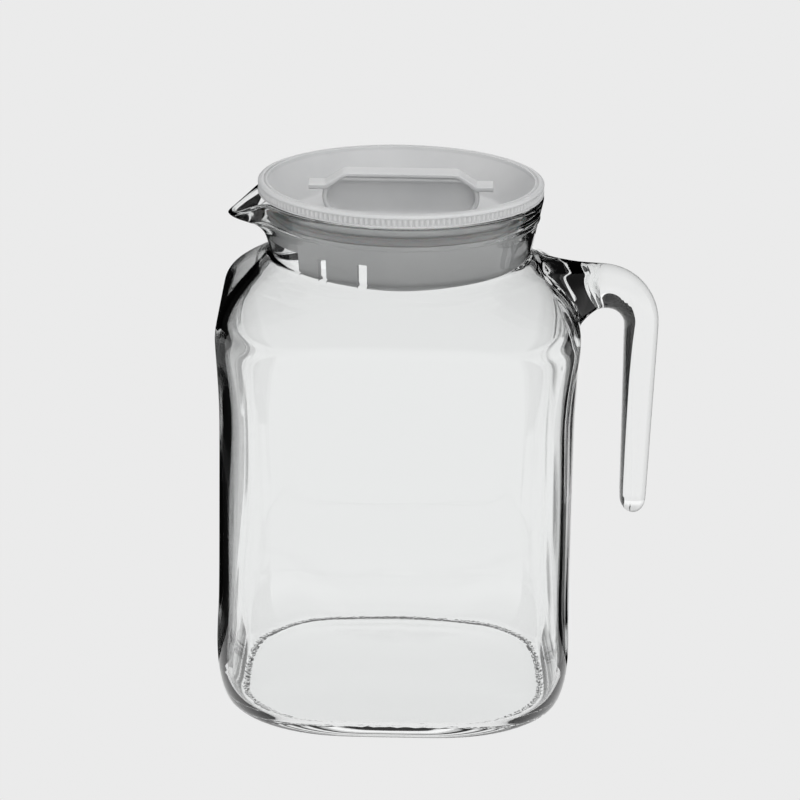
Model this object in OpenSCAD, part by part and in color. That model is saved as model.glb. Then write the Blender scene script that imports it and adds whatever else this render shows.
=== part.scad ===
// Two-litre glass fridge jug with a cast hook handle, a drooping beak and a push-in plastic lid.
// Units are millimetres. +Z is up, the table is z = 0, and the jug's upright axis is the Z axis.
// The handle points along +X and the beak along -X.

/* [Jug body] */
// Width of the square body across its flats, at mid height
body_w = 129.6; // [120:0.1:140]
// Radius of the body's upright corners
corner_r = 30; // [26:1:34]
// Radius of the corners where the body meets the table
foot_corner_r = 43; // [34:1:46]
// Width of the base across the outside of its standing ring
foot_w = 118; // [110:1:122]
// Width of the standing ring's flat
foot_ring_w = 2.5; // [2:0.5:6]
// How far the middle of the base is pushed up
punt_h = 1; // [0.5:0.1:3]
// Height from the table to the foot of the neck
body_h = 170; // [160:1:190]
// Height of the rounded heel
heel_h = 38; // [30:1:42]
// Height of the rounded shoulder
shoulder_h = 24; // [20:1:28]
// Thickness of the glass walls
wall = 3.5; // [3:0.1:4]
// Height of the flat floor inside above the table
base_t = 4.5; // [4:0.5:8]

/* [Neck and beak] */
// Outer radius of the neck at its foot
neck_r = 48.4; // [47:0.1:50]
// Thickness of the neck's wall at its foot
neck_t = 2.7; // [2.6:0.1:3.2]
// Height of the neck and its lip together
neck_h = 21.7; // [20:0.1:24]
// How far the neck flares out from its foot to the lip
lip_flare = 4.2; // [3.5:0.1:5]
// How far the beak reaches out beyond the lip
beak_reach = 11.5; // [8:0.5:13]
// How far the beak droops below the lip
beak_droop = 8.3; // [6:0.1:9]

/* [Handle] */
// Distance from the jug's axis to the middle of the upright grip
grip_x = 89.8; // [86:0.2:92]
// Height of the middle of the arm
arm_z = 157.2; // [154:0.2:158]
// Radius of the bend between arm and grip
bend_r = 14.2; // [13:0.1:16]
// Height of the grip's lower end
grip_end_z = 69.5; // [60:0.5:90]
// Thickness of the arm
arm_t = 15.8; // [13:0.1:17]
// Thickness of the grip just under the bend
grip_top_t = 12.8; // [11:0.1:14]
// Thickness of the grip near its lower end
grip_t = 10; // [8:0.1:12]
// Width of the handle from side to side
handle_w = 21; // [18:0.5:24]

/* [Lid] */
// Radius of the lid over its knurls
lid_r = 52.5; // [51:0.1:54]
// Height of the lid's knurled edge
rim_h = 4.4; // [4:0.1:5.5]
// Number of knurls round the edge
knurl_count = 164; // [120:4:180]
// Depth of a knurl
knurl_depth = 0.5; // [0.3:0.1:0.8]
// Width of the flat band on top of the edge
rim_band = 2.2; // [2:0.1:3]
// Depth of the dish below the lid's edge
dish_depth = 13.5; // [12:0.1:14]
// Radius of the dish's floor
dish_floor_r = 40.5; // [39:0.5:41]
// Thickness of the lid's plastic
lid_t = 1.8; // [1.5:0.1:2.2]
// Outer radius of the plug that goes into the neck
plug_r = 45.3; // [45:0.1:45.4]
// Depth of the plug below the lid's top
plug_h = 31; // [29:0.5:33]
// Height of the strainer slots
slot_h = 11; // [8:0.1:12]
// Width of a strainer slot
slot_w = 3.5; // [2.5:0.1:5]

/* [Finger grip] */
// Length of the grip bar over its ears
bar_l = 67.6; // [60:0.2:68]
// Width of the bar from front to back
bar_w = 9.6; // [9:0.2:12]
// Height of the bar above the lid's edge
bar_rise = 3.2; // [2:0.1:5]
// Thickness of the bar's ears
ear_t = 2; // [1.5:0.1:2.5]
// Length of the upright frame below the bar
frame_l = 57.6; // [54:0.2:60]
// Thickness of the web between the two finger pockets
web_t = 3; // [2.5:0.5:4]

/* [Hidden] */
$fn = 96;

glass = [0.86, 0.9, 0.9, 0.35];
plastic = [0.76, 0.77, 0.77];
silicone = [0.6, 0.6, 0.6];

// Jug body
side_steps = 64;                      // points round the body and the neck
bow_top = 1.8;                        // swell of the walls just under the shoulder
bow_low = 1.4;                        // swell of the walls just above the heel
shoulder_z = body_h - shoulder_h;
shoulder_slope = 2.6;                 // exponent that flattens the top of the shoulder's curve into a slope
bore_r = neck_r - neck_t;
floor_half = foot_w / 2 - 3;          // half width of the flat floor inside
floor_corner_r = foot_corner_r - 11;
inner_heel_h = 24;
inner_shoulder_h = shoulder_h - wall; // the inside of the shoulder ends in a short straight bore

// Neck and beak
rim_z = body_h + neck_h;
flare_z = body_h + 10;                // height where the bore starts to flare
lip_steps = 9;
lip_t = 4;                            // thickness of the lip under its rounded top edge
lip_edge = 1.1;                       // height of the lip's rounded top edge
beak_angle = 34;                      // the beak's straight edges leave the round lip here
droop_angle = 27;
tip_round = 4;                        // degrees over which the beak's tip is rounded

// Handle
root_x = 58.2;                        // the handle starts inside the glass of the shoulder
root_z = arm_z - 0.6;
root_tilt = 38;                       // its first station leans along the shoulder's slope
root_half_t = 12;
root_half_w = 12.5;
grip_lean = 1;                        // how far the grip leans back towards the jug
section_steps = 24;

// Lid
rim_gap = 0.3;                        // between the glass lip and the lid's edge
lid_low = rim_z + rim_gap;            // underside of the knurled edge
lid_top = lid_low + rim_h;
band_r = lid_r - rim_band;
floor_z = lid_top - dish_depth;
cone_drop = 0.8;
plug_t = 1.8;
plug_z = lid_top - plug_h;
slot_angles = [-73.5, -53.5, 53.5, 73.5];    // from the beak's direction
pour_half_angle = 39;
seal_low = rim_z - 7.4;
seal_h = 2.8;
bar_top = lid_top + bar_rise;
ear_top = lid_top - 1.3;
frame_r = (bar_top - ear_t + 0.4 - floor_z) / 2; // the frame stands on the dish's floor
frame_lip = 1.8;                      // width of the frame's edge round each finger pocket
frame_z = floor_z + frame_r;

function ease(t) = let (u = min(1, max(0, t))) u * u * (3 - 2 * u);

// Half width of the body's wall at a height, with its slight swell at the top and the bottom
function side_half(z) =
    body_w / 2 + bow_top * ease((z - 116) / 34) + bow_low * ease((50 - z) / 35);

// Distance from the axis to a rounded square, where half is its half width and c its corner radius
function square_radius(angle, half, c) =
    let (folded = abs((angle + 45) % 90 - 45), k = half - c)
    tan(folded) * half <= k
        ? half / cos(folded)
        : let (s = k * (cos(folded) + sin(folded))) s + sqrt(max(0, s * s - 2 * k * k + c * c));

// One level ring of points. A section is [half width, corner radius, height].
function square_ring(section, steps) =
    [for (i = [0 : steps - 1])
        let (a = i * 360 / steps, r = square_radius(a, section[0], section[1]))
        [r * cos(a), r * sin(a), section[2]]];

// A section of the shoulder. Its corners grow quickly until the section is round.
function shoulder_section(half, corner, round_r, drop, z) =
    let (now = round_r + (half - round_r) * drop)
    [now, min(corner + (round_r - corner) * sqrt(1 - drop), now), z];

outer_sections = concat(
    [for (a = [0 : 11.25 : 90])
        let (z = heel_h * (1 - cos(a)))
        [foot_w / 2 + (side_half(z) - foot_w / 2) * sin(a),
         foot_corner_r + (corner_r - foot_corner_r) * sin(a), z]],
    [for (t = [0.125 : 0.125 : 0.875])
        let (z = heel_h + (shoulder_z - heel_h) * t) [side_half(z), corner_r, z]],
    [for (a = [0 : 9 : 90])
        let (z = shoulder_z + shoulder_h * sin(a))
        shoulder_section(side_half(z), corner_r, neck_r, pow(max(0, cos(a)), shoulder_slope), z)]);

inner_sections = concat(
    [[bore_r, bore_r, body_h]],
    [for (a = [90 : -9 : 0])
        let (z = shoulder_z + inner_shoulder_h * sin(a))
        shoulder_section(side_half(z) - wall, corner_r - wall, bore_r,
                         pow(max(0, cos(a)), shoulder_slope), z)],
    [for (t = [0.875 : -0.125 : 0.125])
        let (low = base_t + inner_heel_h, z = low + (shoulder_z - low) * t)
        [side_half(z) - wall, corner_r - wall, z]],
    [for (a = [90 : -11.25 : 0])
        let (z = base_t + inner_heel_h * (1 - cos(a)))
        [floor_half + (side_half(z) - wall - floor_half) * sin(a),
         floor_corner_r + (corner_r - wall - floor_corner_r) * sin(a), z]]);

foot_inner = foot_w / 2 - foot_ring_w;
punt_sections = [[foot_inner - 3, foot_corner_r - foot_ring_w - 3, punt_h],
                 [foot_inner, foot_corner_r - foot_ring_w, 0]];

// Triangles between ring after ring of a loft, then fans to an end point at each end.
// The rings run anticlockwise seen from above, from first at the bottom outside to last.
function loft_faces(rings, steps) = concat(
    [for (r = [0 : rings - 2], i = [0 : steps - 1])
        let (j = (i + 1) % steps, a = r * steps, b = a + steps) [a + i, b + i, b + j]],
    [for (r = [0 : rings - 2], i = [0 : steps - 1])
        let (j = (i + 1) % steps, a = r * steps, b = a + steps) [a + i, b + j, a + j]],
    [for (i = [0 : steps - 1]) [rings * steps, i, (i + 1) % steps]],
    [for (i = [0 : steps - 1])
        let (top = (rings - 1) * steps) [rings * steps + 1, top + (i + 1) % steps, top + i]]);

// Triangles of a loft whose last ring joins its first again, as round a tube's wall
function closed_loft_faces(rings, steps) = concat(
    [for (r = [0 : rings - 1], i = [0 : steps - 1])
        let (j = (i + 1) % steps, a = r * steps, b = (r + 1) % rings * steps) [a + i, b + i, b + j]],
    [for (r = [0 : rings - 1], i = [0 : steps - 1])
        let (j = (i + 1) % steps, a = r * steps, b = (r + 1) % rings * steps) [a + i, b + j, a + j]]);

module glass_body() {
    sections = concat(punt_sections, outer_sections, inner_sections);
    points = concat([for (s = sections) each square_ring(s, side_steps)],
                    [[0, 0, punt_h], [0, 0, base_t]]);
    color(glass) polyhedron(points, loft_faces(len(sections), side_steps));
}

// How far the beak pulls a point of the lip outwards, at an angle from the beak's direction
function beak_pull(angle) =
    let (a = sqrt(angle * angle + tip_round * tip_round), r = neck_r + lip_flare)
    a >= beak_angle ? 0 : beak_reach * (1 / cos(beak_angle - a) - 1) / (1 / cos(beak_angle - tip_round) - 1);

function beak_fall(angle) = beak_droop * pow(ease(1 - abs(angle) / droop_angle), 1.3);

// A ring of the neck. A section is [radius, height]; the beak grows from the foot of the lip upwards.
function neck_ring(section, steps) =
    [for (i = [0 : steps - 1])
        let (a = i * 360 / steps, off = a - 180,
             share = ease((section[1] - flare_z + 4) / (rim_z - flare_z + 4)),
             r = section[0] + share * beak_pull(off))
        [r * cos(a), r * sin(a), section[1] - share * beak_fall(off)]];

lip_r = neck_r + lip_flare;
lip_low = rim_z - lip_edge;
neck_sections = concat(
    [[neck_r, body_h]],
    [for (i = [0 : lip_steps])
        let (t = i / lip_steps) [neck_r + lip_flare * t, body_h + 1 + (lip_low - body_h - 1) * t]],
    [[lip_r - 0.5, rim_z - 0.3], [lip_r - 1.6, rim_z], [lip_r - 3.3, rim_z - 0.4]],
    [for (i = [lip_steps - 1 : -1 : 0])
        let (t = i / (lip_steps - 1))
        [bore_r + (lip_r - lip_t - bore_r) * pow(t, 1.2), flare_z - 1 + (lip_low - flare_z) * t]],
    [[bore_r, body_h]]);

module glass_neck() {
    points = [for (s = neck_sections) each neck_ring(s, side_steps)];
    color(glass) polyhedron(points, closed_loft_faces(len(neck_sections), side_steps));
}

// The handle's stations, [x, z, direction, half thickness, half width]. Direction 0 runs along +X.
grip_top_z = arm_z - bend_r;
bend_x = grip_x - bend_r;
tip_l = grip_t / 2 + 0.5;
handle_stations = concat(
    [for (t = [0 : 0.2 : 1])
        let (flare = pow(1 - t, 1.5))
        [root_x + (bend_x - root_x) * t, lerp(arm_z, root_z, flare), root_tilt * flare,
         lerp(arm_t / 2, root_half_t, flare), lerp(handle_w / 2, root_half_w, flare)]],
    [for (a = [10 : 10 : 90])
        [bend_x + bend_r * sin(a), grip_top_z + bend_r * cos(a), -a, lerp(arm_t, grip_top_t, a / 90) / 2,
         handle_w / 2 - 0.3 * a / 90]],
    [for (t = [0.2 : 0.2 : 1])
        let (z = grip_top_z + (grip_end_z + tip_l - grip_top_z) * t)
        [grip_x - grip_lean * t, z, -90,
         lerp(grip_top_t, grip_t, t) / 2, lerp(handle_w / 2 - 0.3, 8.6, t)]],
    [for (a = [25, 50, 70, 84])
        [grip_x - grip_lean, grip_end_z + tip_l * (1 - sin(a)), -90,
         grip_t / 2 * cos(a), 8.6 * pow(cos(a), 0.8)]]);

function lerp(a, b, t) = a + (b - a) * t;
function rounded(v) = sign(v) * pow(abs(v), 0.86);

function handle_ring(s) =
    [for (i = [0 : section_steps - 1])
        let (a = i * 360 / section_steps, out = s[3] * rounded(sin(a)))
        [s[0] - out * sin(s[2]), s[4] * rounded(cos(a)), s[1] + out * cos(s[2])]];

module glass_handle() {
    last = len(handle_stations) - 1;
    points = concat([for (s = handle_stations) each handle_ring(s)],
                    [[root_x, 0, root_z],
                     [handle_stations[last][0], 0, grip_end_z]]);
    color(glass) polyhedron(points, loft_faces(last + 1, section_steps));
}

cone_run = band_r - 1.7 - dish_floor_r;
cone_rise = dish_depth - cone_drop - 0.4;
under_r = dish_floor_r + lid_t * 0.55;
under_z = floor_z - lid_t * 0.75;
// Height of the underside of the dish's cone at a radius
function cone_under(r) = under_z + (r - under_r) * cone_rise / cone_run;
flange_r = under_r + (lid_low - under_z) * cone_run / cone_rise;

module lid_dish() {
    color(plastic) rotate_extrude()
        polygon([[0, floor_z - lid_t], [dish_floor_r - 1.5, floor_z - lid_t], [under_r, under_z],
                 [flange_r, lid_low], [band_r, lid_low], [band_r, lid_top],
                 [band_r - 1.7, lid_top - cone_drop], [dish_floor_r, floor_z + 0.4],
                 [dish_floor_r - 1.8, floor_z], [0, floor_z]]);
}

module lid_rim() {
    knurl_r = lid_r - 0.1;
    knurls = [for (i = [0 : 2 * knurl_count - 1])
        let (r = i % 2 == 0 ? knurl_r : knurl_r - knurl_depth, a = i * 180 / knurl_count)
        [r * cos(a), r * sin(a)]];
    color(plastic) difference() {
        union() {
            translate([0, 0, lid_low + 0.4]) linear_extrude(rim_h - 1.7) polygon(knurls);
            translate([0, 0, lid_low]) cylinder(h = 0.4, r = lid_r);
            translate([0, 0, lid_top - 1.3]) cylinder(h = 0.8, r = lid_r);
            translate([0, 0, lid_top - 0.5]) cylinder(h = 0.5, r1 = lid_r, r2 = lid_r - 0.5);
        }
        translate([0, 0, lid_low - 1]) cylinder(h = rim_h + 2, r = band_r);
    }
}

module strainer_slot(angle) {
    rotate(180 + angle) translate([plug_r - 4, -slot_w / 2, plug_z - 1]) cube([8, slot_w, slot_h + 1]);
}

module pour_opening() {
    reach = plug_r + 4;
    translate([0, 0, plug_z - 1]) linear_extrude(slot_h + 1)
        polygon(concat([[0, 0]], [for (t = [-1 : 0.25 : 1]) let (a = 180 + t * pour_half_angle)
            [reach * cos(a), reach * sin(a)]]));
}

module lid_skirt() {
    color(plastic) difference() {
        rotate_extrude()
            polygon([[plug_r - plug_t, plug_z], [plug_r, plug_z],
                     [plug_r, seal_low - 1.4], [plug_r + 0.8, seal_low - 0.9],
                     [plug_r + 0.8, seal_low - 0.3], [plug_r, seal_low - 0.3],
                     [plug_r, cone_under(plug_r)], [plug_r - plug_t, cone_under(plug_r - plug_t)]]);
        for (a = slot_angles) strainer_slot(a);
        pour_opening();
    }
}

module seal_ring() {
    seal_r = plug_r + 0.08;
    color(silicone) rotate_extrude()
        polygon([[seal_r, seal_low], [seal_r + 1, seal_low], [seal_r + 1.5, seal_low + seal_h * 0.6],
                 [seal_r + 1.2, seal_low + seal_h], [seal_r, seal_low + seal_h]]);
}

// Outline of the grip's bar seen from the front: a strap that drops over two shoulders to its ears
module bar_outline() {
    ear_x = bar_l / 2;
    shoulder_x = ear_x - 5.5;
    flat_x = shoulder_x - 6.5;
    polygon([[ear_x, ear_top], [shoulder_x, ear_top], [flat_x, bar_top], [-flat_x, bar_top],
             [-shoulder_x, ear_top], [-ear_x, ear_top], [-ear_x, ear_top - ear_t],
             [-shoulder_x - 0.6, ear_top - ear_t], [-flat_x - 0.6, bar_top - ear_t],
             [flat_x + 0.6, bar_top - ear_t], [shoulder_x + 0.6, ear_top - ear_t],
             [ear_x, ear_top - ear_t]]);
}

// The upright frame's rounded outline, smaller by inset on every side
module frame_outline(inset) {
    end_x = frame_l / 2 - frame_r;
    r = frame_r - inset;
    for (side = [-1, 1]) translate([side * end_x, frame_z]) circle(r = r);
    translate([-end_x, frame_z - r]) square([2 * end_x, 2 * r]);
}

module lid_grip() {
    pocket_depth = (bar_w - web_t) / 2;
    color(plastic) rotate([90, 0, 0]) difference() {
        translate([0, 0, -bar_w / 2]) linear_extrude(bar_w) {
            bar_outline();
            frame_outline(0);
        }
        for (face = [-bar_w / 2 - 1, bar_w / 2 - pocket_depth])
            translate([0, 0, face]) linear_extrude(pocket_depth + 1) frame_outline(frame_lip);
    }
}

glass_body();
glass_neck();
glass_handle();
seal_ring();
lid_skirt();
lid_dish();
lid_rim();
lid_grip();
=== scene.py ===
"""Glass fridge jug with a push-in plastic lid: the visual pieces, their materials, the studio and the camera.
Lengths in this file are millimetres, and go to metres where a mesh or an object is made."""

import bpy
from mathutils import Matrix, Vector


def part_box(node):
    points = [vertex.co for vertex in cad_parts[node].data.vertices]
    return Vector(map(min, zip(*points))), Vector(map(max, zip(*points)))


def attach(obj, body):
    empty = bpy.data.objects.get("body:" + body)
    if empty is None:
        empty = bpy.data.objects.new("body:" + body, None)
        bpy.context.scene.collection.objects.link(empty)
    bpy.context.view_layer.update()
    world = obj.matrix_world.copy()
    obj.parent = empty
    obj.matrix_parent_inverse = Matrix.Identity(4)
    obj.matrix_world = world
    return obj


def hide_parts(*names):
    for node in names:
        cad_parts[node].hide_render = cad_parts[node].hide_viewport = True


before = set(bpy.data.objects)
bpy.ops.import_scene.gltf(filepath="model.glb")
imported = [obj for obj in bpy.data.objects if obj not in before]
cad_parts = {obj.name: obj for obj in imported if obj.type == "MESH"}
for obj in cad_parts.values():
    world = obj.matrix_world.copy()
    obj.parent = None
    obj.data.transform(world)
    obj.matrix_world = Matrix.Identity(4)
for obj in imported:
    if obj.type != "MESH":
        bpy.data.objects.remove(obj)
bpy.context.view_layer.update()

import math

import bmesh
import bpy
import numpy as np
from mathutils import Matrix, Vector

MM = 0.001

# ---------------------------------------------------------------- sizes from the frame


def box_mm(node):
    """Lowest and highest corner of a CAD node, in millimetres."""
    low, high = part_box(node)
    return np.array(low) / MM, np.array(high) / MM


BODY_HIGH = box_mm("glass_body")[1]
NECK_LOW, NECK_HIGH = box_mm("glass_neck")
HANDLE_LOW, HANDLE_HIGH = box_mm("glass_handle")
RIM_LOW, RIM_HIGH = box_mm("lid_rim")
DISH_LOW, DISH_HIGH = box_mm("lid_dish")
GRIP_HIGH = box_mm("lid_grip")[1]
SKIRT_LOW, SKIRT_HIGH = box_mm("lid_skirt")
SEAL_LOW, SEAL_HIGH = box_mm("seal_ring")

# Glass body
BODY_H = BODY_HIGH[2]
BOW_TOP, BOW_LOW = 1.8, 1.4        # how far the walls swell under the shoulder and above the heel
BOW_TOP_FROM, BOW_TOP_OVER = 116, 34   # the upper swell's first height, and how many millimetres it takes
BOW_LOW_FROM, BOW_LOW_OVER = 50, 35    # the lower swell's, downwards
SIDE = BODY_HIGH[1] - BOW_TOP      # half width of the body at mid height
CORNER = 30.0
FOOT = 59.0                        # half width of the base at the outside of its standing ring
FOOT_CORNER = 43.0
RING_W = 2.5                       # width of the standing ring
PUNT = 1.0                         # how far the base is pushed up inside its ring
HEEL_H = 38.0
SHOULDER_H = 24.0
SHOULDER_SLOPE = 2.6               # higher is flatter on top
WALL = 3.5
BASE_T = 4.5
FLOOR, FLOOR_CORNER = FOOT - 3, FOOT_CORNER - 11   # the flat floor inside
INNER_HEEL_H = 24.0

# Neck, lip and beak
LIP_R = NECK_HIGH[1]
LIP_FLARE = 4.2
LIP_T = 4
NECK_T = 2.7
NECK_R = LIP_R - LIP_FLARE
BORE_R = NECK_R - NECK_T
RIM_Z = NECK_HIGH[2]
FLARE_Z = BODY_H + 10              # where the bore starts to widen, and the beak to lean out
RIDGE_Z = BODY_H + 13.3            # the moulding ridge round the neck
LIP_LOW = RIM_Z - 1.1
BEAK_REACH = -NECK_LOW[0] - LIP_R
BEAK_DROOP = 8.3                   # how far the tip hangs below the lip
BEAK_ANGLE = 34.0                  # half the angle over which the lip is drawn out
DROOP_ANGLE = 27.0                 # half the angle over which it hangs
TIP_ROUND = 4.0

# Handle
ARM_T, ARM_W = 15.8, 21.0          # thickness and width where the arm starts to bend
GRIP_TOP_T = 12.8                  # thickness just under the bend
GRIP_T, GRIP_W = 10.0, 17.2        # thickness and width at the lower end
HANDLE_ROUND = 0.86                # 1 is an ellipse, and lower is squarer
BEND_R = 14.2
ARM_Z = 157.2
GRIP_LEAN = 1.0                    # how far the lower end leans towards the body
GRIP_X = HANDLE_HIGH[0] - GRIP_TOP_T / 2
GRIP_END = HANDLE_LOW[2]

# Lid
LID_R = RIM_HIGH[1]
LID_TOP = RIM_HIGH[2]
LID_LOW = RIM_LOW[2]
BAND_R = DISH_HIGH[1]
LID_T = 1.8
DISH_FLOOR = DISH_LOW[2] + LID_T
DISH_FLOOR_R = 40.5
KNURLS = 164
KNURL_DEPTH = 0.95
FRAME_HALF_L, FRAME_R = 28.8, 7.7  # the grip's upright pill
STRAP_T, STRAP_HALF_W = 1.6, 4.8
EAR_DROP, EAR_HALF_T = 1.3, 0.95   # the strap's ears: how far below the lid's top, and half their thickness
PLUG_R = 45.3
PLUG_T = 1.8
PLUG_LOW = SKIRT_LOW[2]
SLOT_W, SLOT_H = 3.5, 11
SLOTS = 53.5, 73.5                 # directions of the strainer slots from the beak's, in degrees
POUR_HALF = 39                     # half the pour opening's angle


def ease(t):
    t = min(1.0, max(0.0, t))
    return t * t * (3 - 2 * t)


# ---------------------------------------------------------------- mesh helpers


def mesh_object(name, points, faces, smooth=True):
    """A mesh object from points in millimetres, with its normals facing out."""
    mesh = bpy.data.meshes.new(name)
    mesh.from_pydata([tuple(float(v) * MM for v in p) for p in points], [], [list(f) for f in faces])
    work = bmesh.new()
    work.from_mesh(mesh)
    bmesh.ops.recalc_face_normals(work, faces=work.faces)
    work.to_mesh(mesh)
    work.free()
    mesh.polygons.foreach_set("use_smooth", [smooth] * len(mesh.polygons))
    piece = bpy.data.objects.new(name, mesh)
    bpy.context.scene.collection.objects.link(piece)
    return piece


def apply_modifiers(piece):
    """Replaces the piece's mesh with its evaluated mesh."""
    graph = bpy.context.evaluated_depsgraph_get()
    mesh = bpy.data.meshes.new_from_object(piece.evaluated_get(graph), depsgraph=graph)
    piece.modifiers.clear()
    old = piece.data
    piece.data = mesh
    bpy.data.meshes.remove(old)


def fillet(corners, steps=6):
    """A profile through (r, z, fillet radius) corners, with each corner rounded by an arc-like curve."""
    out = []
    for i, (r, z, radius) in enumerate(corners):
        here = np.array([r, z], float)
        if radius == 0 or i in (0, len(corners) - 1):
            out.append(here)
            continue
        before = np.array(corners[i - 1][:2], float) - here
        after = np.array(corners[i + 1][:2], float) - here
        lengths = np.linalg.norm(before), np.linalg.norm(after)
        before, after = before / lengths[0], after / lengths[1]
        half = math.acos(max(-1, min(1, float(before @ after)))) / 2
        cut = min(radius / math.tan(half), 0.49 * min(lengths))
        start, end = here + before * cut, here + after * cut
        for k in range(steps + 1):
            t = k / steps
            out.append((1 - t) ** 2 * start + 2 * t * (1 - t) * here + t * t * end)
    return out


def lathe(name, profile, steps=160, closed=True):
    """A turned solid about the Z axis. A profile point on the axis becomes one shared point."""
    points, rings = [], []
    for r, z in profile:
        if r < 1e-6:
            rings.append([len(points)] * steps)
            points.append((0, 0, z))
        else:
            rings.append(list(range(len(points), len(points) + steps)))
            points += [
                (r * math.cos(2 * math.pi * i / steps), r * math.sin(2 * math.pi * i / steps), z)
                for i in range(steps)
            ]
    faces = []
    pairs = list(zip(rings, rings[1:]))
    if closed:
        pairs.append((rings[-1], rings[0]))
    for a, b in pairs:
        for i in range(steps):
            j = (i + 1) % steps
            face = list(dict.fromkeys([a[i], a[j], b[j], b[i]]))
            if len(face) > 2:
                faces.append(face)
    return mesh_object(name, points, faces)


def bevelled(piece, width, segments=2, angle=35):
    """Rounds the piece's sharp edges, then applies that."""
    bevel = piece.modifiers.new("bevel", "BEVEL")
    bevel.width = width * MM
    bevel.segments = segments
    bevel.limit_method = "ANGLE"
    bevel.angle_limit = math.radians(angle)
    apply_modifiers(piece)
    piece.data.polygons.foreach_set("use_smooth", [True] * len(piece.data.polygons))


# ---------------------------------------------------------------- glass

COLUMNS = 60
CROWD = 0.45                       # how strongly the columns crowd towards the handle and the beak
ROOT_COLUMNS = 4                   # columns on each side of the handle's root
SUBDIVISIONS = 2


def side_half(z):
    """Half width of the outside at a height."""
    return (SIDE + BOW_TOP * ease((z - BOW_TOP_FROM) / BOW_TOP_OVER)
            + BOW_LOW * ease((BOW_LOW_FROM - z) / BOW_LOW_OVER))


def square_radius(angle, half, corner):
    """Distance from the axis to a rounded square of that half width and corner radius."""
    folded = abs((math.degrees(angle) + 45) % 90 - 45)
    folded = math.radians(folded)
    k = half - corner
    if math.tan(folded) * half <= k:
        return half / math.cos(folded)
    s = k * (math.cos(folded) + math.sin(folded))
    return s + math.sqrt(max(0.0, s * s - 2 * k * k + corner * corner))


def shoulder(angle, half, corner, round_r, height):
    """A section of the shoulder, (half width, corner radius, height), at 0 to 90 degrees of its curve."""
    drop = max(0.0, math.cos(math.radians(angle))) ** SHOULDER_SLOPE
    now = round_r + (half - round_r) * drop
    z = BODY_H - SHOULDER_H + height * math.sin(math.radians(angle))
    return now, min(corner + (round_r - corner) * math.sqrt(1 - drop), now), z


def outer_sections():
    """Sections of the outside from the middle of the base up to the top of the lip."""
    inside = FOOT - RING_W

    def base(half, z):
        return half, max(min(half, 20), FOOT_CORNER - (FOOT - half)), z

    rows = [base(half, PUNT) for half in (8, 18)]
    rows += [base(half, PUNT - 0.6 * ease((half - 18) / (inside - 18)))
             for half in (28, 38, 46, inside - 3, inside - 1.5)]
    rows += [base(inside - 0.8, PUNT * 0.5), base(inside - 0.2, PUNT * 0.1), base(inside + 0.3, 0),
             base(inside + 1, 0), base(FOOT - 0.4, 0)]
    for a in range(6, 91, 12):
        z = HEEL_H * (1 - math.cos(math.radians(a)))
        out = math.sin(math.radians(a))
        rows.append((FOOT + (side_half(z) - FOOT) * out, FOOT_CORNER + (CORNER - FOOT_CORNER) * out, z))
    low, high = HEEL_H + 6, BODY_H - SHOULDER_H
    rows += [(side_half(z), CORNER, z) for z in np.linspace(low, high - 5, 9)]
    rows += [shoulder(a, side_half(BODY_H), CORNER, NECK_R, SHOULDER_H) for a in range(0, 73, 8)]
    rows += [(NECK_R + 0.1, NECK_R + 0.1, BODY_H - 0.5), (NECK_R, NECK_R, BODY_H + 1)]
    for z, proud in ((BODY_H + 4, 0), (BODY_H + 8, 0), (RIDGE_Z - 1.4, 0), (RIDGE_Z - 0.6, 0.1),
                     (RIDGE_Z - 0.2, 0.35), (RIDGE_Z + 0.2, 0.35), (RIDGE_Z + 0.6, 0.1), (RIDGE_Z + 1.6, 0),
                     (LIP_LOW - 2.5, 0), (LIP_LOW, 0)):
        r = NECK_R + (LIP_R - NECK_R) * (z - BODY_H - 1) / (LIP_LOW - BODY_H - 1) + proud
        rows.append((r, r, z))
    lip = ((LIP_R - 0.15, RIM_Z - 0.5), (LIP_R - 0.7, RIM_Z - 0.1), (LIP_R - 1.6, RIM_Z + 0.03))
    return rows + [(r, r, z) for r, z in lip]


def inner_sections():
    """Sections of the inside from the lip down to the floor."""
    lip = ((LIP_R - 2.9, RIM_Z - 0.1), (LIP_R - 3.7, RIM_Z - 0.5), (LIP_R - LIP_T, LIP_LOW))
    rows = [(r, r, z) for r, z in lip]
    for t in (0.85, 0.65, 0.45, 0.25, 0.1, 0.0):
        r = BORE_R + (LIP_R - LIP_T - BORE_R) * t**1.2
        rows.append((r, r, FLARE_Z - 1 + (LIP_LOW - FLARE_Z) * t))
    rows += [(BORE_R, BORE_R, BODY_H + 4), (BORE_R, BORE_R, BODY_H - 2)]
    high = BODY_H - SHOULDER_H
    rows += [shoulder(a, side_half(BODY_H) - WALL, CORNER - WALL, BORE_R, SHOULDER_H - WALL)
             for a in range(76, -1, -9)]
    low = BASE_T + INNER_HEEL_H
    rows += [(side_half(z) - WALL, CORNER - WALL, z) for z in np.linspace(high, low, 9)[1:-1]]
    for a in range(90, -1, -11):
        z = BASE_T + INNER_HEEL_H * (1 - math.cos(math.radians(a)))
        out = math.sin(math.radians(a))
        rows.append((FLOOR + (side_half(z) - WALL - FLOOR) * out,
                     FLOOR_CORNER + (CORNER - WALL - FLOOR_CORNER) * out, z))
    rows += [(FLOOR - 1, FLOOR_CORNER - 1, BASE_T - 0.05), (FLOOR - 4, FLOOR_CORNER - 3, BASE_T - 0.1),
             (38, 24, BASE_T - 0.1), (14, 14, BASE_T - 0.1)]
    return rows


def beak_pull(off):
    """How far the beak pulls the lip outwards, at an angle in degrees from the beak's direction."""
    a = math.hypot(off, TIP_ROUND)
    if a >= BEAK_ANGLE:
        return 0.0
    full = 1 / math.cos(math.radians(BEAK_ANGLE - TIP_ROUND)) - 1
    return BEAK_REACH * (1 / math.cos(math.radians(BEAK_ANGLE - a)) - 1) / full


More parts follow.
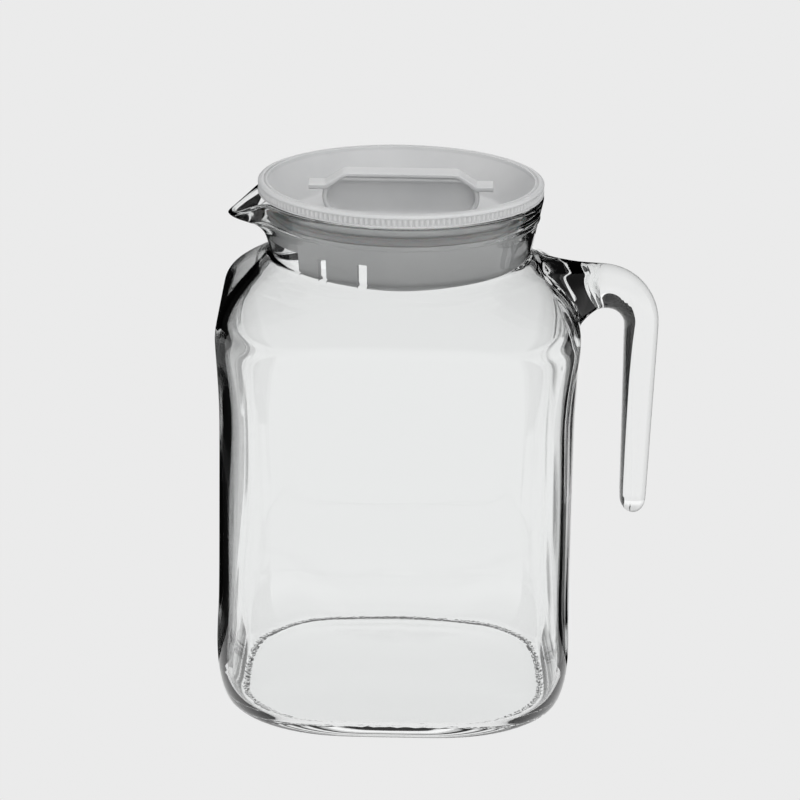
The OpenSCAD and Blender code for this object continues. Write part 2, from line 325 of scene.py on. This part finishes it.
def beak_fall(off):
    """How far the beak hangs below the lip, at an angle in degrees from the beak's direction."""
    return BEAK_DROOP * ease(1 - abs(off) / DROOP_ANGLE) ** 1.3


def glass_point(angle, section):
    """The point of a section in one direction, with the beak's share of pull and droop."""
    half, corner, z = section
    r = square_radius(angle, half, corner)
    off = (math.degrees(angle) % 360) - 180
    share = ease((z - FLARE_Z + 4) / (RIM_Z - FLARE_Z + 4))
    r += share * beak_pull(off)
    return np.array([r * math.cos(angle), r * math.sin(angle), z - share * beak_fall(off)])


def handle_stations():
    """Stations along the handle from the start of its bend: (x, z, direction, half thickness, half width)."""
    bend_x = GRIP_X - BEND_R
    grip_top = ARM_Z - BEND_R
    tip_l = GRIP_T / 2 + 0.5
    stations = []
    for a in range(0, 91, 10):
        out = math.radians(a)
        stations.append((bend_x + BEND_R * math.sin(out), grip_top + BEND_R * math.cos(out), -a,
                         (ARM_T + (GRIP_TOP_T - ARM_T) * a / 90) / 2, ARM_W / 2 - 0.3 * a / 90))
    end = GRIP_END + tip_l
    for t in np.linspace(0, 1, 10)[1:]:
        stations.append((GRIP_X - GRIP_LEAN * t, grip_top + (end - grip_top) * t, -90,
                         (GRIP_TOP_T + (GRIP_T - GRIP_TOP_T) * t) / 2,
                         ARM_W / 2 - 0.3 + (GRIP_W / 2 - ARM_W / 2 + 0.3) * t))
    for a in (22, 45, 64, 79):
        c, s = math.cos(math.radians(a)), math.sin(math.radians(a))
        stations.append((GRIP_X - GRIP_LEAN, end - tip_l * s, -90, GRIP_T / 2 * c, GRIP_W / 2 * c**0.8))
    return stations


def handle_ring(station, angles):
    """A ring of the handle. Angle 0 is the +Y side, and 90 is the outside of the bend."""
    x, z, direction, half_t, half_w = station
    way = math.radians(direction)
    ring = []
    for a in angles:
        c, s = math.cos(a), math.sin(a)
        out = half_t * math.copysign(abs(s) ** HANDLE_ROUND, s)
        side = half_w * math.copysign(abs(c) ** HANDLE_ROUND, c)
        ring.append(np.array([x - out * math.sin(way), side, z + out * math.cos(way)]))
    return ring


def glass_cage():
    """Points and faces of the glass cage: one continuous skin over body, lip, bore and handle."""
    outer, inner = outer_sections(), inner_sections()
    sections = outer + inner
    turn = np.arange(COLUMNS) * 2 * math.pi / COLUMNS
    angles = turn - CROWD / 2 * np.sin(2 * turn)
    points = [glass_point(a, s) for s in sections for a in angles]
    root_rows = [i for i, s in enumerate(outer) if BODY_H - 25 < s[2] < BODY_H - 3]
    first, last = root_rows[0], root_rows[-1]

    def at(row, column):
        return row * COLUMNS + column % COLUMNS

    faces = []
    for row in range(len(sections) - 1):
        for column in range(COLUMNS):
            near_handle = min(column, COLUMNS - 1 - column) < ROOT_COLUMNS
            if first <= row < last and near_handle:
                continue
            faces.append([at(row, column), at(row, column + 1), at(row + 1, column + 1), at(row + 1, column)])
    for row, z in ((0, PUNT), (len(sections) - 1, BASE_T - 0.1)):
        centre = len(points)
        points.append(np.array([0, 0, z]))
        faces += [[at(row, c), at(row, c + 1), centre] for c in range(COLUMNS)]

    # The root's hole in the skin, from its +Y side upwards and round
    w, h = ROOT_COLUMNS, last - first
    loop = [at(first + k, w) for k in range(h)]
    loop += [at(last, w - k) for k in range(2 * w)]
    loop += [at(last - k, -w) for k in range(h)]
    loop += [at(first, -w + k) for k in range(2 * w)]
    corners = [-45, 45, 135, 225]
    counts = [h, 2 * w, h, 2 * w]
    ring_angles = [math.radians(start + 90 * k / n) for start, n in zip(corners, counts) for k in range(n)]

    stations = handle_stations()
    start = handle_ring(stations[0], ring_angles)
    rings = [loop]
    reach = [np.array([1.0, 0.0, 0.0]) * (q[0] - points[i][0]) for i, q in zip(loop, start)]
    for t in (0.18, 0.38, 0.6, 0.8):
        h1, h2 = 2 * t**3 - 3 * t**2 + 1, 3 * t**2 - 2 * t**3
        h3, h4 = t**3 - 2 * t**2 + t, t**3 - t**2
        ring = []
        for i, q, along in zip(loop, start, reach):
            ring.append(len(points))
            inward = (q - points[i]) * [0.35, 1.0, 0.75]
            points.append(points[i] * h1 + q * h2 + inward * h3 + along * h4)
        rings.append(ring)
    for station in stations:
        ring = []
        for p in handle_ring(station, ring_angles):
            ring.append(len(points))
            points.append(p)
        rings.append(ring)
    n = len(loop)
    for a, b in zip(rings, rings[1:]):
        faces += [[a[i], a[(i + 1) % n], b[(i + 1) % n], b[i]] for i in range(n)]
    tip = len(points)
    points.append(np.array([GRIP_X - GRIP_LEAN, 0, GRIP_END]))
    faces += [[rings[-1][i], rings[-1][(i + 1) % n], tip] for i in range(n)]
    return points, faces


def waves(p, directions):
    """A smooth pattern between about -1 and 1 at each point, from a few plane waves."""
    total = np.zeros(len(p))
    for kx, ky, kz, phase, share in directions:
        total += share * np.sin(p[:, 0] * kx + p[:, 1] * ky + p[:, 2] * kz + phase)
    return total


def square_reach(p, half, corner):
    """How far each point lies outside a rounded square, seen from above. It is negative inside."""
    over = np.abs(p[:, :2]) - (half - corner)
    return np.linalg.norm(np.maximum(over, 0), axis=1) + np.minimum(over.max(axis=1), 0) - corner


def pressed_glass_surface(piece):
    """Adds the slow waves of pressed glass and an uneven edge round its floor, and marks the stippled
    standing ring."""
    mesh = piece.data
    count = len(mesh.vertices)
    co, normal = np.empty(count * 3), np.empty(count * 3)
    mesh.vertices.foreach_get("co", co)
    mesh.vertices.foreach_get("normal", normal)
    p, normal = co.reshape(-1, 3) / MM, normal.reshape(-1, 3)
    radial = p[:, :2] / np.maximum(np.linalg.norm(p[:, :2], axis=1), 1)[:, None]
    inside = (np.einsum("ij,ij->i", radial, normal[:, :2]) < -0.2) & (p[:, 2] > 20) & (p[:, 2] < BODY_H - 8)
    slow = waves(p, [(0.09, 0.05, 0.035, 0.3, 0.4), (-0.06, 0.11, 0.05, 1.9, 0.35),
                     (0.16, -0.13, 0.07, 4.0, 0.25)])
    p += normal * np.where(inside, 0.22, 0.0)[:, None] * slow[:, None]
    edge = np.abs(square_reach(p, FLOOR, FLOOR_CORNER)) < 1.2
    edge &= (np.abs(p[:, 2] - BASE_T) < 0.6) & (normal[:, 2] > 0.2)
    p[:, 2] += np.where(edge, 0.3, 0) * waves(p, [(1.3, 1.1, 0, 0.5, 0.5), (-0.9, 1.7, 0, 2.2, 0.5)])
    ring = np.clip(1.5 - np.abs(square_reach(p, FOOT, FOOT_CORNER) + 2.4) / 1.4, 0, 1) * (p[:, 2] < 0.8)
    mesh.attributes.new("stipple", "FLOAT", "POINT").data.foreach_set("value", ring.astype(np.float32))
    mesh.vertices.foreach_set("co", (p * MM).ravel())
    mesh.update()


def make_glass():
    """The whole glass as one piece: the cage, smoothed, with its pressed surface."""
    points, faces = glass_cage()
    glass = mesh_object("jug_glass", points, faces)
    subdivide = glass.modifiers.new("smooth", "SUBSURF")
    subdivide.levels = subdivide.render_levels = SUBDIVISIONS
    apply_modifiers(glass)
    pressed_glass_surface(glass)
    return glass


# ---------------------------------------------------------------- lid


def make_rim():
    """The knurled edge of the lid, down to the flange that rests over the glass lip."""
    top, low = LID_TOP, LID_LOW
    rows = [(BAND_R, top, 0), (LID_R - 1.2, top, 0), (LID_R - 0.75, top - 0.04, 0),
            (LID_R - 0.35, top - 0.2, 0), (LID_R - 0.08, top - 0.55, 0), (LID_R, top - 0.95, 0),
            (LID_R - 0.12, top - 1.25, 0)]
    knurl_low, knurl_high = low + 0.55, top - 1.4
    for t, deep, share in ((0, 0.5, 0.1), (0.08, 0.2, 0.8), (0.25, 0.1, 1), (0.5, 0.1, 1), (0.75, 0.1, 1),
                           (0.92, 0.2, 0.8), (1, 0.5, 0.1)):
        rows.append((LID_R - deep, knurl_high + (knurl_low - knurl_high) * t, share))
    rows += [(LID_R - 0.02, low + 0.4, 0), (LID_R - 0.05, low + 0.12, 0), (LID_R - 0.3, low, 0),
             (BAND_R, low, 0)]
    steps = KNURLS * 6
    points, faces = [], []
    for r, z, share in rows:
        for i in range(steps):
            a = 2 * math.pi * i / steps
            bump = abs(math.cos(KNURLS * a / 2)) ** 1.5
            now = r - share * KNURL_DEPTH * (1 - bump)
            points.append((now * math.cos(a), now * math.sin(a), z))
    for row in range(len(rows)):
        below = (row + 1) % len(rows)
        for i in range(steps):
            j = (i + 1) % steps
            faces.append([row * steps + i, row * steps + j, below * steps + j, below * steps + i])
    return mesh_object("lid_knurled_rim", points, faces)


def make_dish():
    """The dished top inside the knurled edge: flat floor, soft corner, steep cone and rolled edge."""
    top, floor = LID_TOP, DISH_FLOOR
    profile = fillet([
        (0, floor, 0), (DISH_FLOOR_R, floor, 2.2), (BAND_R - 1.6, top - 1.2, 0.5), (BAND_R - 1.2, top, 0.25),
        (BAND_R, top, 0), (BAND_R, LID_LOW, 0), (BAND_R - 1.95, LID_LOW, 0.6),
        (DISH_FLOOR_R + 0.8, floor - LID_T + 0.3, 1.5), (DISH_FLOOR_R - 3, floor - LID_T, 1.0),
        (0, floor - LID_T, 0)])
    return lathe("lid_dished_top", profile, steps=192)


def make_skirt():
    """The plug that goes into the neck, with the wide pour opening towards the beak and the strainer slots
    beside it."""
    slot_half = math.degrees(math.asin(SLOT_W / 2 / PLUG_R))
    gaps = [(180 - POUR_HALF, 180 + POUR_HALF)]
    gaps += [(180 + a - slot_half, 180 + a + slot_half) for a in (-SLOTS[1], -SLOTS[0], *SLOTS)]
    angles = sorted(set(range(0, 360, 3)) | {edge for gap in gaps for edge in gap})
    slot_top, seal_low = PLUG_LOW + SLOT_H, SEAL_LOW[2]
    heights = [(PLUG_LOW, -0.5), (PLUG_LOW + 0.3, -0.1), (PLUG_LOW + 1.0, 0), (PLUG_LOW + 1.2, -0.1),
               (PLUG_LOW + 1.9, -0.5), (PLUG_LOW + 2.4, -0.5), (PLUG_LOW + 2.7, 0), (PLUG_LOW + 6, 0),
               (slot_top, 0), (slot_top + 4, 0), (seal_low - 1.5, 0), (seal_low - 1.0, 0.8),
               (seal_low - 0.4, 0.8), (seal_low - 0.3, 0), (SKIRT_HIGH[2] - 0.3, 0)]
    points = []
    for z, proud in heights:
        for a in angles:
            out = math.radians(a)
            points.append(((PLUG_R + proud) * math.cos(out), (PLUG_R + proud) * math.sin(out), z))
    n = len(angles)
    faces = []
    for row in range(len(heights) - 1):
        for i in range(n):
            middle = (angles[i] + (angles[(i + 1) % n] or 360)) / 2
            if heights[row][0] < slot_top - 0.1 and any(a < middle < b for a, b in gaps):
                continue
            faces.append([row * n + i, row * n + (i + 1) % n, (row + 1) * n + (i + 1) % n, (row + 1) * n + i])
    skirt = mesh_object("lid_plug_skirt", points, faces)
    work = bmesh.new()
    work.from_mesh(skirt.data)
    bmesh.ops.delete(work, geom=[v for v in work.verts if not v.link_faces], context="VERTS")
    work.to_mesh(skirt.data)
    work.free()
    solid = skirt.modifiers.new("thickness", "SOLIDIFY")
    solid.thickness = PLUG_T * MM
    solid.offset = -1
    apply_modifiers(skirt)
    bevelled(skirt, 0.18, angle=50)
    return skirt


def stadium(half_l, radius, centre_z, count):
    """Points round an upright stadium in the XZ plane, evenly by direction share, from its right end."""
    straight = half_l - radius
    total = 4 * straight + 2 * math.pi * radius
    out = []
    for k in range(count):
        s = (k / count) * total
        arc = math.pi * radius
        if s < arc / 2:
            a = s / radius
            out.append((straight + radius * math.cos(a), centre_z + radius * math.sin(a)))
        elif s < arc / 2 + 2 * straight:
            out.append((straight - (s - arc / 2), centre_z + radius))
        elif s < 1.5 * arc + 2 * straight:
            a = math.pi / 2 + (s - arc / 2 - 2 * straight) / radius
            out.append((-straight + radius * math.cos(a), centre_z + radius * math.sin(a)))
        elif s < 1.5 * arc + 4 * straight:
            out.append((-straight + (s - 1.5 * arc - 2 * straight), centre_z - radius))
        else:
            a = 1.5 * math.pi + (s - 1.5 * arc - 4 * straight) / radius
            out.append((straight + radius * math.cos(a), centre_z + radius * math.sin(a)))
    return out


def make_grip_frame():
    """The upright pill of the grip, with a rounded lip round a shallow finger pocket on both its faces."""
    count = 120
    centre = GRIP_HIGH[2] - STRAP_T - FRAME_R
    loops = [(0, 0), (0, 3.4), (0.12, 3.9), (0.45, 4.25), (0.9, 4.35), (1.3, 4.25), (1.65, 3.9), (1.8, 3.3),
             (1.85, 2.4), (2.05, 1.75), (2.6, 1.5), (4.5, 1.5)]
    rows = []
    for side in (-1, 1):
        chosen = loops[::-1] if side < 0 else loops[1:]
        for inset, y in chosen:
            outline = stadium(FRAME_HALF_L - inset, FRAME_R - inset, centre, count)
            rows.append([(x, side * y, z) for x, z in outline])
    points = [p for row in rows for p in row]
    faces = []
    for row in range(len(rows) - 1):
        for i in range(count):
            j = (i + 1) % count
            faces.append([row * count + i, row * count + j, (row + 1) * count + j, (row + 1) * count + i])
    for first in (0, (len(rows) - 1) * count):
        for k in range(count // 2 - 1):
            faces.append([first + k, first + k + 1, first + count - 2 - k, first + count - 1 - k])
    return mesh_object("lid_grip_frame", points, faces)


def strap_path():
    """The middle line of the strap over the grip, (x, z), from its left ear to its right ear."""
    ear_x = GRIP_HIGH[0]
    ear_z = LID_TOP - EAR_DROP - EAR_HALF_T
    top_z = GRIP_HIGH[2] - STRAP_T / 2
    half = [(0.0, top_z, 0), (20.6, top_z, 5.0), (27.6, ear_z, 2.5), (ear_x, ear_z, 0)]
    right = fillet(half, steps=8)[1:]
    return [np.array([-p[0], p[1]]) for p in right[::-1]] + [np.array([0.0, top_z])] + right


def make_strap():
    """The bar across the top of the grip: a flat strap that drops over two shoulders to its ears."""
    path = strap_path()
    half_w, edge = STRAP_HALF_W, 0.35
    points, faces = [], []
    for i, p in enumerate(path):
        before, after = path[max(0, i - 1)], path[min(len(path) - 1, i + 1)]
        way = (after - before) / np.linalg.norm(after - before)
        up = np.array([-way[1], way[0]])
        half_t = STRAP_T / 2 + 0.15 * ease((abs(p[0]) - 22) / 6)
        outline = [(-half_w, -half_t + edge), (-half_w, half_t - edge), (-half_w + edge, half_t),
                   (half_w - edge, half_t), (half_w, half_t - edge), (half_w, -half_t + edge),
                   (half_w - edge, -half_t), (-half_w + edge, -half_t)]
        for y, out in outline:
            points.append((p[0] + up[0] * out, y, p[1] + up[1] * out))
    m = 8
    for row in range(len(path) - 1):
        for i in range(m):
            j = (i + 1) % m
            faces.append([row * m + i, row * m + j, (row + 1) * m + j, (row + 1) * m + i])
    faces.append(list(range(m)))
    faces.append(list(range((len(path) - 1) * m, len(path) * m)))
    strap = mesh_object("lid_grip_strap", points, faces)
    bevelled(strap, 0.22, segments=3, angle=40)
    return strap


def make_seal():
    """The soft ring that sits round the plug and presses on the bore."""
    low, high = SEAL_LOW[2], SEAL_HIGH[2]
    inner = PLUG_R + 0.08
    outer = SEAL_HIGH[1]
    profile = fillet([(inner, (low + high) / 2, 0), (inner, low, 0.25), (outer - 0.5, low, 0.4),
                      (outer, low + (high - low) * 0.6, 0.5), (outer - 0.3, high, 0.4), (inner, high, 0.25),
                      (inner, (low + high) / 2, 0)])[:-1]
    return lathe("lid_seal", profile, steps=160)


# ---------------------------------------------------------------- materials


def material(name):
    """An empty node material, with its nodes and links."""
    made = bpy.data.materials.new(name)
    made.use_nodes = True
    made.node_tree.nodes.clear()
    return made, made.node_tree.nodes, made.node_tree.links


def node(nodes, kind, **inputs):
    """A shader node with plain values on its named inputs."""
    made = nodes.new(kind)
    for key, value in inputs.items():
        made.inputs[key.replace("_", " ")].default_value = value
    return made


def glass_material():
    """Clear soda-lime glass, its surface faintly uneven and its standing ring stippled."""
    made, nodes, links = material("clear_pressed_glass")
    out = nodes.new("ShaderNodeOutputMaterial")
    glass = node(nodes, "ShaderNodeBsdfPrincipled", Base_Color=(0.985, 0.992, 0.99, 1), IOR=1.5,
                 Transmission_Weight=1.0, Roughness=0.0)
    place = nodes.new("ShaderNodeNewGeometry")
    ripple = node(nodes, "ShaderNodeTexNoise", Scale=60.0, Detail=1.0)
    bump = node(nodes, "ShaderNodeBump", Strength=0.05, Distance=0.0006)
    ring = nodes.new("ShaderNodeAttribute")
    ring.attribute_name = "stipple"
    grains = node(nodes, "ShaderNodeTexVoronoi", Scale=750.0)
    relief = nodes.new("ShaderNodeMath")
    relief.operation = "MULTIPLY"
    dimple = node(nodes, "ShaderNodeBump", Strength=1.0, Distance=0.0009)
    links.new(place.outputs["Position"], ripple.inputs["Vector"])
    links.new(place.outputs["Position"], grains.inputs["Vector"])
    links.new(ripple.outputs["Fac"], bump.inputs["Height"])
    links.new(grains.outputs["Distance"], relief.inputs[0])
    links.new(ring.outputs["Fac"], relief.inputs[1])
    links.new(relief.outputs["Value"], dimple.inputs["Height"])
    links.new(bump.outputs["Normal"], dimple.inputs["Normal"])
    links.new(dimple.outputs["Normal"], glass.inputs["Normal"])
    links.new(glass.outputs["BSDF"], out.inputs["Surface"])
    return made


def plastic_material():
    """Light grey moulded polyethylene: satin, a little waxy, with fine mould texture and faint flow marks."""
    made, nodes, links = material("grey_polyethylene")
    out = nodes.new("ShaderNodeOutputMaterial")
    plastic = node(nodes, "ShaderNodeBsdfPrincipled", Roughness=0.42, IOR=1.5, Specular_IOR_Level=0.45,
                   Subsurface_Weight=0.12, Subsurface_Scale=0.003)
    plastic.inputs["Subsurface Radius"].default_value = (1.0, 1.0, 1.0)
    place = nodes.new("ShaderNodeTexCoord")
    flow = node(nodes, "ShaderNodeTexNoise", Scale=38.0, Detail=4.0, Roughness=0.55)
    tint = nodes.new("ShaderNodeValToRGB")
    tint.color_ramp.elements[0].position, tint.color_ramp.elements[0].color = 0.3, (0.50, 0.505, 0.51, 1)
    tint.color_ramp.elements[1].position, tint.color_ramp.elements[1].color = 0.7, (0.55, 0.553, 0.555, 1)
    grain = node(nodes, "ShaderNodeTexNoise", Scale=1400.0, Detail=2.0)
    gloss = nodes.new("ShaderNodeMapRange")
    for key, value in (("From Min", 0.3), ("From Max", 0.7), ("To Min", 0.36), ("To Max", 0.5)):
        gloss.inputs[key].default_value = value
    bump = node(nodes, "ShaderNodeBump", Strength=0.25, Distance=0.00004)
    links.new(place.outputs["Object"], flow.inputs["Vector"])
    links.new(place.outputs["Object"], grain.inputs["Vector"])
    links.new(flow.outputs["Fac"], tint.inputs["Fac"])
    links.new(tint.outputs["Color"], plastic.inputs["Base Color"])
    links.new(flow.outputs["Fac"], gloss.inputs["Value"])
    links.new(gloss.outputs["Result"], plastic.inputs["Roughness"])
    links.new(grain.outputs["Fac"], bump.inputs["Height"])
    links.new(bump.outputs["Normal"], plastic.inputs["Normal"])
    links.new(plastic.outputs["BSDF"], out.inputs["Surface"])
    return made


def silicone_material():
    """Grey silicone of the seal."""
    made, nodes, links = material("grey_silicone")
    out = nodes.new("ShaderNodeOutputMaterial")
    rubber = node(nodes, "ShaderNodeBsdfPrincipled", Roughness=0.55, Subsurface_Weight=0.3,
                  Subsurface_Scale=0.002)
    place = nodes.new("ShaderNodeTexCoord")
    cloud = node(nodes, "ShaderNodeTexNoise", Scale=120.0, Detail=2.0)
    tint = nodes.new("ShaderNodeValToRGB")
    tint.color_ramp.elements[0].color = (0.30, 0.303, 0.305, 1)
    tint.color_ramp.elements[1].color = (0.34, 0.343, 0.345, 1)
    links.new(place.outputs["Object"], cloud.inputs["Vector"])
    links.new(cloud.outputs["Fac"], tint.inputs["Fac"])
    links.new(tint.outputs["Color"], rubber.inputs["Base Color"])
    links.new(rubber.outputs["BSDF"], out.inputs["Surface"])
    return made


# ---------------------------------------------------------------- studio

BACKDROP = 0.83                    # linear brightness of the pale floor and backdrop
FLOOR_LIGHT = 1.25                 # the floor's brightness as a light on the plastic
HORIZON_LIGHT = BACKDROP * 1.2     # the world's brightness as a light, near the horizon
FLOOR_R = 6000


def studio_floor():
    """A large pale floor that glows evenly, and brighter as a light on the plastic."""
    made, nodes, links = material("pale_floor")
    out = nodes.new("ShaderNodeOutputMaterial")
    path = nodes.new("ShaderNodeLightPath")
    lit = node(nodes, "ShaderNodeMix", A=BACKDROP, B=FLOOR_LIGHT)
    glow = node(nodes, "ShaderNodeEmission", Color=(1, 1, 1, 1))
    deep = nodes.new("ShaderNodeMath")
    deep.operation = "GREATER_THAN"
    deep.inputs[1].default_value = 0.5
    links.new(path.outputs["Diffuse Depth"], deep.inputs[0])
    links.new(deep.outputs["Value"], lit.inputs["Factor"])
    links.new(lit.outputs["Result"], glow.inputs["Strength"])
    links.new(glow.outputs["Emission"], out.inputs["Surface"])
    floor = lathe("studio_floor", [(0, 0), (FLOOR_R, 0)], steps=96, closed=False)
    floor.location.z = -0.0004
    floor.data.materials.append(made)


def studio_world():
    """Even pale light round the horizon that dims overhead."""
    world = bpy.data.worlds.new("studio")
    bpy.context.scene.world = world
    world.use_nodes = True
    nodes, links = world.node_tree.nodes, world.node_tree.links
    nodes.clear()
    out = nodes.new("ShaderNodeOutputWorld")
    seen = node(nodes, "ShaderNodeBackground", Color=(1, 1, 1, 1), Strength=BACKDROP)
    around = node(nodes, "ShaderNodeBackground", Strength=HORIZON_LIGHT)
    place = nodes.new("ShaderNodeTexCoord")
    split = nodes.new("ShaderNodeSeparateXYZ")
    ramp = nodes.new("ShaderNodeValToRGB")
    ramp.color_ramp.elements[0].position, ramp.color_ramp.elements[0].color = 0.15, (1, 1, 1, 1)
    ramp.color_ramp.elements[1].position, ramp.color_ramp.elements[1].color = 0.6, (0.25, 0.25, 0.25, 1)
    path = nodes.new("ShaderNodeLightPath")
    mix = nodes.new("ShaderNodeMixShader")
    links.new(place.outputs["Generated"], split.inputs["Vector"])
    links.new(split.outputs["Z"], ramp.inputs["Fac"])
    links.new(ramp.outputs["Color"], around.inputs["Color"])
    links.new(path.outputs["Is Camera Ray"], mix.inputs["Fac"])
    links.new(around.outputs["Background"], mix.inputs[1])
    links.new(seen.outputs["Background"], mix.inputs[2])
    links.new(mix.outputs["Shader"], out.inputs["Surface"])


def soft_light(name, place, size, power):
    """A square area lamp that faces the jug."""
    lamp = bpy.data.lights.new(name, "AREA")
    lamp.size = size
    lamp.energy = power
    holder = bpy.data.objects.new(name, lamp)
    bpy.context.scene.collection.objects.link(holder)
    holder.location = place
    aim = Vector((0, 0, 0.12)) - Vector(place)
    holder.rotation_euler = aim.to_track_quat("-Z", "Y").to_euler()
    holder.visible_glossy = holder.visible_transmission = False
    return holder


CAMERA_TURN = 0.3, 17.95, 0.95     # azimuth, elevation and roll, in degrees
CAMERA_TARGET = 0.0009, 0, 0.1113
CAMERA_DISTANCE = 1.4
CAMERA_LENS = 168.8


def studio_camera():
    """A long lens a little above the jug, with the handle to the right."""
    azimuth, elevation, roll = (math.radians(a) for a in CAMERA_TURN)
    back = Vector((math.sin(azimuth) * math.cos(elevation), -math.cos(azimuth) * math.cos(elevation),
                   math.sin(elevation)))
    lens = bpy.data.cameras.new("camera")
    lens.lens = CAMERA_LENS
    lens.clip_start, lens.clip_end = 0.05, 50
    camera = bpy.data.objects.new("camera", lens)
    bpy.context.scene.collection.objects.link(camera)
    camera.location = Vector(CAMERA_TARGET) + back * CAMERA_DISTANCE
    aim = (-back).to_track_quat("-Z", "Y")
    camera.rotation_mode = "QUATERNION"
    camera.rotation_quaternion = aim @ Matrix.Rotation(roll, 4, "Z").to_quaternion()
    bpy.context.scene.camera = camera
    return camera


# The cards' outlines as the camera sees them: right and up from the middle of its view, in millimetres
CARD_DEPTH = 45                    # how far behind the jug's axis the near cards stand
CARD_EDGE, CARD_SIDE = 500, 260    # how far the cards go up and down, and out
NEAR_CARDS = {
    "left": [(-71, -CARD_EDGE), (-71, 30), (-68, 45), (-60, 60), (-50, 70), (-50, CARD_EDGE),
             (-CARD_SIDE, CARD_EDGE), (-CARD_SIDE, -CARD_EDGE)],
    "right": [(70, -CARD_EDGE), (70, -110), (97, -50), (98, -40), (104, 40), (104, 50), (59, 62),
              (59, CARD_EDGE), (CARD_SIDE, CARD_EDGE), (CARD_SIDE, -CARD_EDGE)],
}
FAR_CARDS = {"far_left": -200, "far_right": 200}   # cards that run straight back, at this far to the right
FAR_DEPTH = 520


def dark_flags(camera):
    """Black cards behind and beside the jug, which draw its glass edges dark. They turn with the camera."""
    made, nodes, links = material("black_card")
    out = nodes.new("ShaderNodeOutputMaterial")
    black = node(nodes, "ShaderNodeBsdfDiffuse", Color=(0.004, 0.004, 0.004, 1))
    links.new(black.outputs["BSDF"], out.inputs["Surface"])
    axis = -CAMERA_DISTANCE / MM
    near, far = axis - CARD_DEPTH, axis - FAR_DEPTH
    shapes = {name: [(x, y, near) for x, y in outline] for name, outline in NEAR_CARDS.items()}
    for name, x in FAR_CARDS.items():
        shapes[name] = [(x, y, z) for y, z in ((-CARD_EDGE, near), (-CARD_EDGE, far),
                                               (CARD_EDGE, far), (CARD_EDGE, near))]
    for name, points in shapes.items():
        card = mesh_object(f"black_card_{name}", points, [range(len(points))], smooth=False)
        card.data.materials.append(made)
        card.parent = camera
        card.visible_camera = card.visible_diffuse = card.visible_shadow = False


# ---------------------------------------------------------------- assembly

GLASS = glass_material()
PLASTIC = plastic_material()
SILICONE = silicone_material()


def fit(piece, finish, slot, body, *nodes):
    """Gives a piece its material, and puts it on its body in place of CAD nodes. The slot argument is not
    used.
    """
    piece.data.materials.clear()
    piece.data.materials.append(finish)
    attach(piece, body)
    if nodes:
        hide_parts(*nodes)


fit(make_glass(), GLASS, "glass", "jug", "glass_body", "glass_neck", "glass_handle")
fit(make_rim(), PLASTIC, "lid_plastic", "lid", "lid_rim")
fit(make_dish(), PLASTIC, "lid_plastic", "lid", "lid_dish")
fit(make_skirt(), PLASTIC, "lid_plastic", "lid", "lid_skirt")
fit(make_grip_frame(), PLASTIC, "lid_plastic", "lid", "lid_grip")
fit(make_strap(), PLASTIC, "lid_plastic", "lid")
fit(make_seal(), SILICONE, "seal", "seal", "seal_ring")

studio_floor()
studio_world()
soft_light("top_softbox", (0.1, -0.25, 1.3), 0.9, 11.0)
soft_light("front_softbox", (0.4, -1.2, 1.0), 0.8, 3.5)
dark_flags(studio_camera())
bpy.context.scene.view_settings.view_transform = "Standard"
